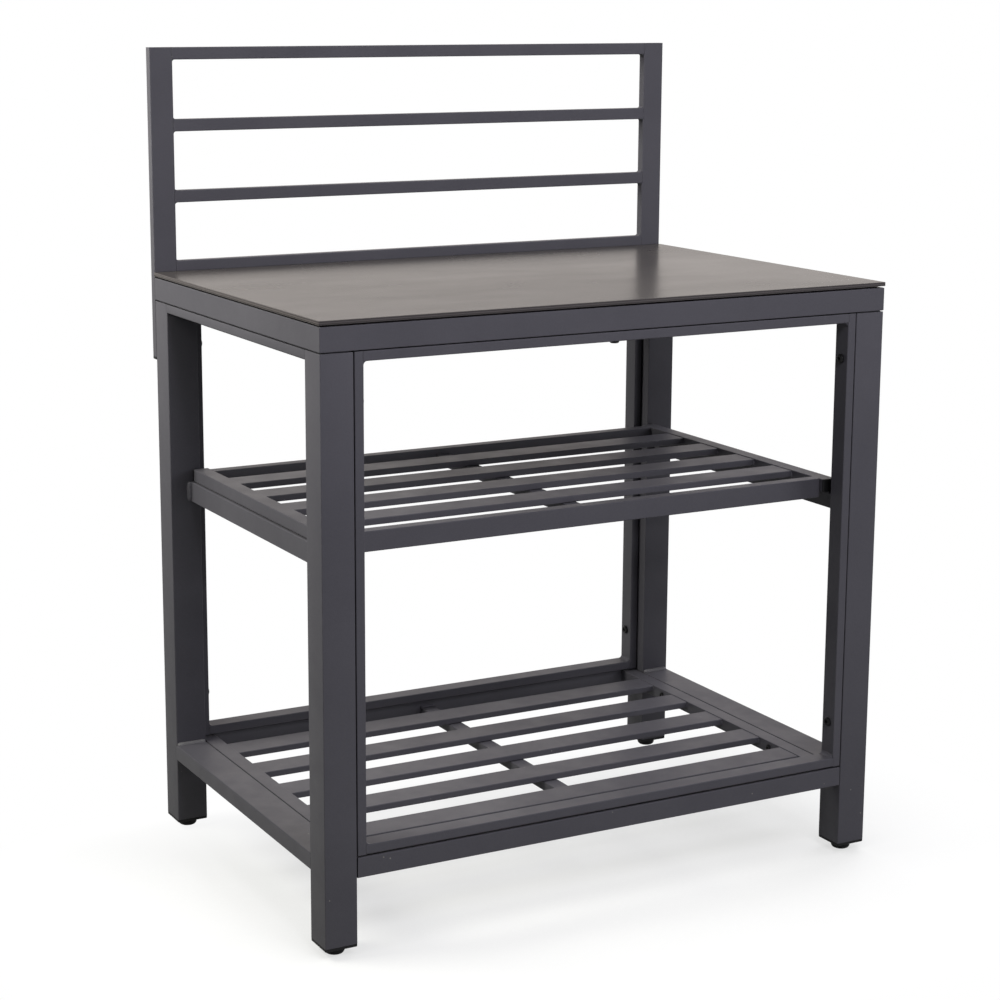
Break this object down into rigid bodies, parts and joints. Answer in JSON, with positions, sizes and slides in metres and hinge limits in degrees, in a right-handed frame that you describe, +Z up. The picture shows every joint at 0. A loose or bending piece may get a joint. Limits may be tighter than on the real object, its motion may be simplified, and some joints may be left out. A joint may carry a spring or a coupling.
{
  "type": "outdoor kitchen table",
  "caption": "Open outdoor kitchen table: square tube legs, slab worktop, slatted shelves below and a low rail back behind the worktop.",
  "frame": {"origin": "on the floor, under the middle of the whole object", "axes": "+Z up, -Y towards the front, +X to the right as seen from the front"},
  "size_m": [0.943, 0.6468, 1.256],
  "materials": {
    "powder_coat": "fine matte powder coat, anthracite",
    "worktop": "satin compact laminate, dark warm grey",
    "pad_rubber": "matte black",
    "black_plastic": "matte black",
    "black_hardware": "black oxide",
    "zinc_hardware": "zinc plated"
  },
  "bodies": {
    "frame": {"apron_front": "powder_coat", "apron_left": "powder_coat", "apron_rear": "powder_coat", "apron_right": "powder_coat", "back_post_caps": "black_plastic", "back_post_left": "powder_coat", "back_post_right": "powder_coat", "back_rail_1": "powder_coat", "back_rail_2": "powder_coat", "back_rail_3": "powder_coat", "back_rail_4": "powder_coat", "frame_bolts": "black_hardware", "front_frame_bottom_rail": "powder_coat", "front_frame_stile_left": "powder_coat", "front_frame_stile_right": "powder_coat", "front_frame_top_rail": "powder_coat", "leg_caps": "black_plastic", "leg_front_left": "powder_coat", "leg_front_right": "powder_coat", "leg_rear_left": "powder_coat", "leg_rear_right": "powder_coat", "lower_shelf_crossbar": "powder_coat", "lower_shelf_front_rim": "powder_coat", "lower_shelf_rear_rim": "powder_coat", "lower_shelf_side_rim_left": "powder_coat", "lower_shelf_side_rim_right": "powder_coat", "lower_shelf_slat_1": "powder_coat", "lower_shelf_slat_2": "powder_coat", "lower_shelf_slat_3": "powder_coat", "lower_shelf_slat_4": "powder_coat", "lower_shelf_slat_5": "powder_coat", "rear_frame_bottom_rail": "powder_coat", "rear_frame_stile_left": "powder_coat", "rear_frame_stile_right": "powder_coat", "rear_frame_top_rail": "powder_coat", "rivet_nuts": "zinc_hardware", "shelf_support_left": "powder_coat", "shelf_support_right": "powder_coat", "side_bottom_rail_left": "powder_coat", "side_bottom_rail_right": "powder_coat", "side_top_rail_left": "powder_coat", "side_top_rail_right": "powder_coat", "small_bolts": "black_hardware", "weld_beads": "powder_coat", "worktop_pads": "pad_rubber", "worktop_panel": "worktop"},
    "middle_shelf": {"middle_shelf_crossbar": "powder_coat", "middle_shelf_end_plugs": "black_plastic", "middle_shelf_front_rim": "powder_coat", "middle_shelf_rear_rim": "powder_coat", "middle_shelf_side_rim_left": "powder_coat", "middle_shelf_side_rim_right": "powder_coat", "middle_shelf_slat_1": "powder_coat", "middle_shelf_slat_2": "powder_coat", "middle_shelf_slat_3": "powder_coat", "middle_shelf_slat_4": "powder_coat"},
    "foot_front_left": {"foot_front_left": "black_plastic"},
    "foot_front_right": {"foot_front_right": "black_plastic"},
    "foot_rear_left": {"foot_rear_left": "black_plastic"},
    "foot_rear_right": {"foot_rear_right": "black_plastic"}
  },
  "joints": [
    {"name": "middle_shelf_lift", "type": "slide", "parent": "frame", "child": "middle_shelf", "axis": [0, 0, 1], "range_m": [0, 0.2]},
    {"name": "foot_front_left_screw", "type": "slide", "parent": "frame", "child": "foot_front_left", "axis": [0, 0, -1], "range_m": [0, 0.01]},
    {"name": "foot_front_right_screw", "type": "slide", "parent": "frame", "child": "foot_front_right", "axis": [0, 0, -1], "range_m": [0, 0.01]},
    {"name": "foot_rear_left_screw", "type": "slide", "parent": "frame", "child": "foot_rear_left", "axis": [0, 0, -1], "range_m": [0, 0.01]},
    {"name": "foot_rear_right_screw", "type": "slide", "parent": "frame", "child": "foot_rear_right", "axis": [0, 0, -1], "range_m": [0, 0.01]}
  ]
}
